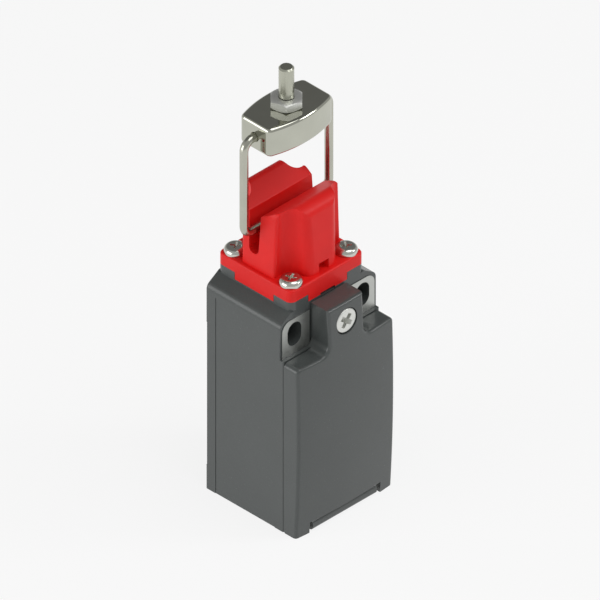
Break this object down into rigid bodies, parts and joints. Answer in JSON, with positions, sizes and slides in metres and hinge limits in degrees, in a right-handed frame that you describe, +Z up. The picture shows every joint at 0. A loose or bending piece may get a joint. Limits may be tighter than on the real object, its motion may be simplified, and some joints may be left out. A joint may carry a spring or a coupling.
{
  "type": "safety interlock switch",
  "caption": "Narrow metal safety interlock switch with a slotted red head, a wire loop that presses its plunger, a pivoting yoke with a threaded stud, and a hinged front cover.",
  "frame": {"origin": "centre of the conduit entry's mouth in the bottom face, on the axis of the head's flange", "axes": "+Z up from the conduit entry to the actuator stud, -Y to the hinged front cover, +Y into the wall it is screwed to, X across the 30 mm width and along the wire loop"},
  "size_m": [0.03, 0.0298, 0.1115],
  "materials": {
    "coated_die_cast": "fine satin powder coat over die-cast metal",
    "red_polyamide": "satin-gloss moulded plastic",
    "zinc_plated_steel": "bright zinc plate",
    "polished_stainless": "drawn and polished stainless wire",
    "spring_steel": "drawn spring wire",
    "polished_chrome": "polished bright plate",
    "brass": "bright rolled brass",
    "black_moulding": "fine matt moulded plastic",
    "pale_moulding": "natural matt moulded plastic",
    "sealing_rubber": "soft black rubber"
  },
  "bodies": {
    "housing": {"housing": "coated_die_cast", "hinge_pin": "polished_stainless", "head": "red_polyamide", "head_seal": "sealing_rubber", "head_screws": "zinc_plated_steel", "guide_bush": "brass", "plunger_seal": "sealing_rubber", "return_spring": "spring_steel", "spring_seat": "black_moulding", "contact_base": "black_moulding", "contact_lid": "pale_moulding", "fixed_contacts": "brass", "terminal_clamps": "zinc_plated_steel", "terminal_screws": "zinc_plated_steel", "block_screws": "zinc_plated_steel", "earth_clamp": "zinc_plated_steel", "earth_screw": "zinc_plated_steel"},
    "cover": {"cover": "coated_die_cast", "cover_gasket": "sealing_rubber"},
    "cover_screw": {"cover_screw": "zinc_plated_steel", "screw_retainer": "polished_stainless"},
    "plunger": {"plunger": "black_moulding", "drive_rod": "pale_moulding", "contact_bridges": "brass", "bridge_springs": "spring_steel"},
    "wire_loop": {"wire_loop": "polished_stainless"},
    "yoke": {"yoke_block": "polished_chrome", "stud": "zinc_plated_steel", "nut": "zinc_plated_steel"}
  },
  "joints": [
    {"name": "cover_hinge", "type": "hinge", "parent": "housing", "child": "cover", "pos_m": [0, -0.0156, 0.00135], "axis": [1, 0, 0], "range_deg": [0, 90]},
    {"name": "cover_screw_draw", "type": "slide", "parent": "cover", "child": "cover_screw", "axis": [0, -1, 0], "range_m": [0, 0.0022]},
    {"name": "plunger_press", "type": "slide", "parent": "housing", "child": "plunger", "axis": [0, 0, 1], "range_m": [-0.0045, 0], "stiffness_N_per_m": 1200, "springref_m": 0.004, "deforming": ["return_spring"]},
    {"name": "loop_lift", "type": "slide", "parent": "plunger", "child": "wire_loop", "axis": [0, 0, 1], "range_m": [0, 0.03]},
    {"name": "yoke_swing", "type": "hinge", "parent": "wire_loop", "child": "yoke", "pos_m": [0, 0.0014, 0.0974], "axis": [1, 0, 0], "continuous": true}
  ]
}
